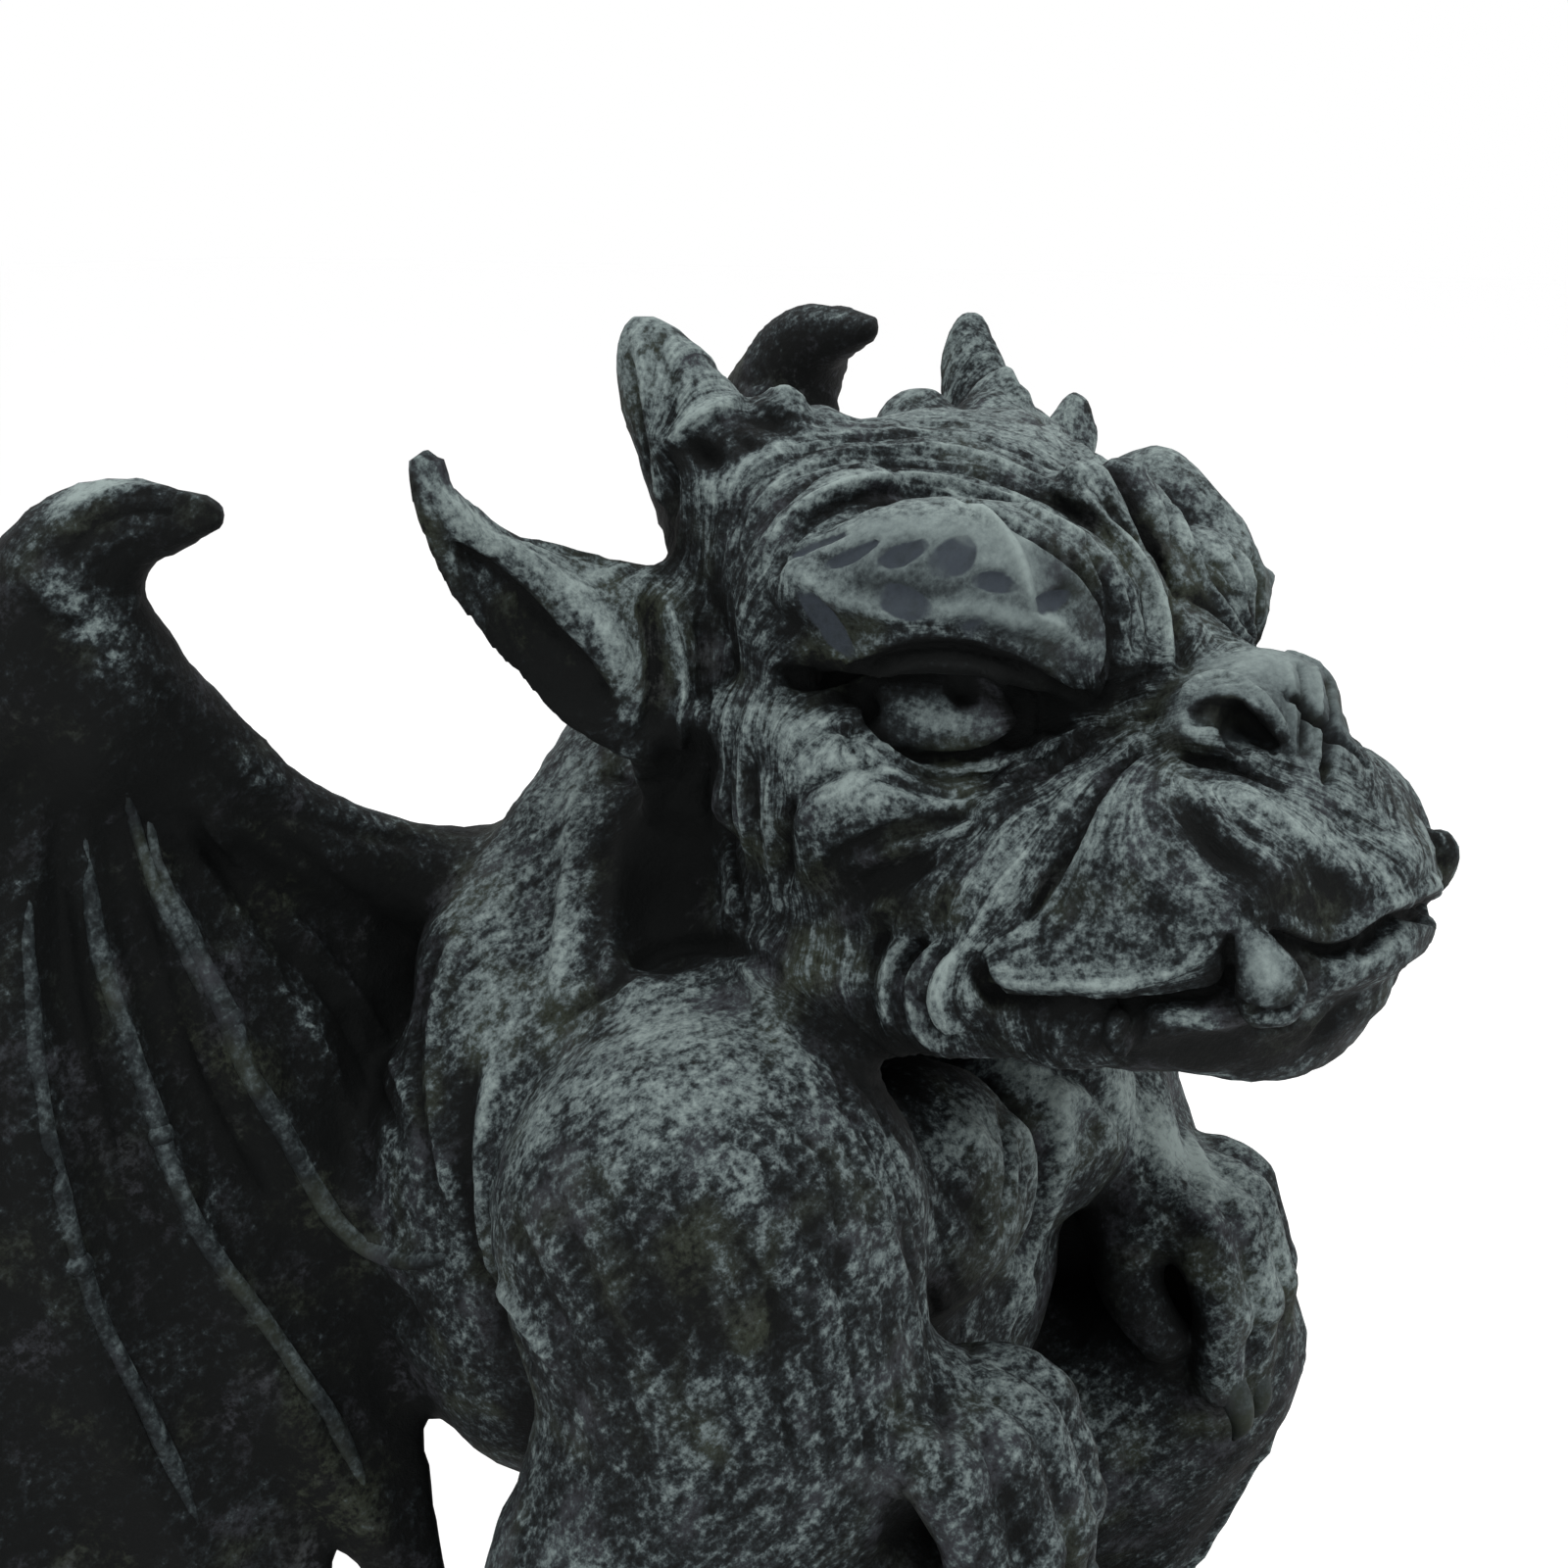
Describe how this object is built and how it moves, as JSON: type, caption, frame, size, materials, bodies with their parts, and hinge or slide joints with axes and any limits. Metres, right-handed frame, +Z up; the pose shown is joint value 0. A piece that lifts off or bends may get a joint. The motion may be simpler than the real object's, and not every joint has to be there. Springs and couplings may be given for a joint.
{
  "type": "winged gargoyle statue",
  "caption": "Squatting winged gargoyle with horned head, tusked lower jaw and folded membrane wings, cast on a low rock plinth.",
  "frame": {"origin": "centre of the plinth's underside", "axes": "+Z up, the creature faces -Y, its right side is -X"},
  "size_m": [0.1672, 0.142, 0.1935],
  "materials": {
    "gargoyle": "stone-filled cast resin, charcoal wash, pale blue-grey dry brushing, matte",
    "plinth": "stone-filled cast resin, charcoal wash, pale blue-grey dry brushing, matte"
  },
  "bodies": {
    "root": {"gargoyle": "gargoyle", "plinth": "plinth"}
  },
  "joints": []
}
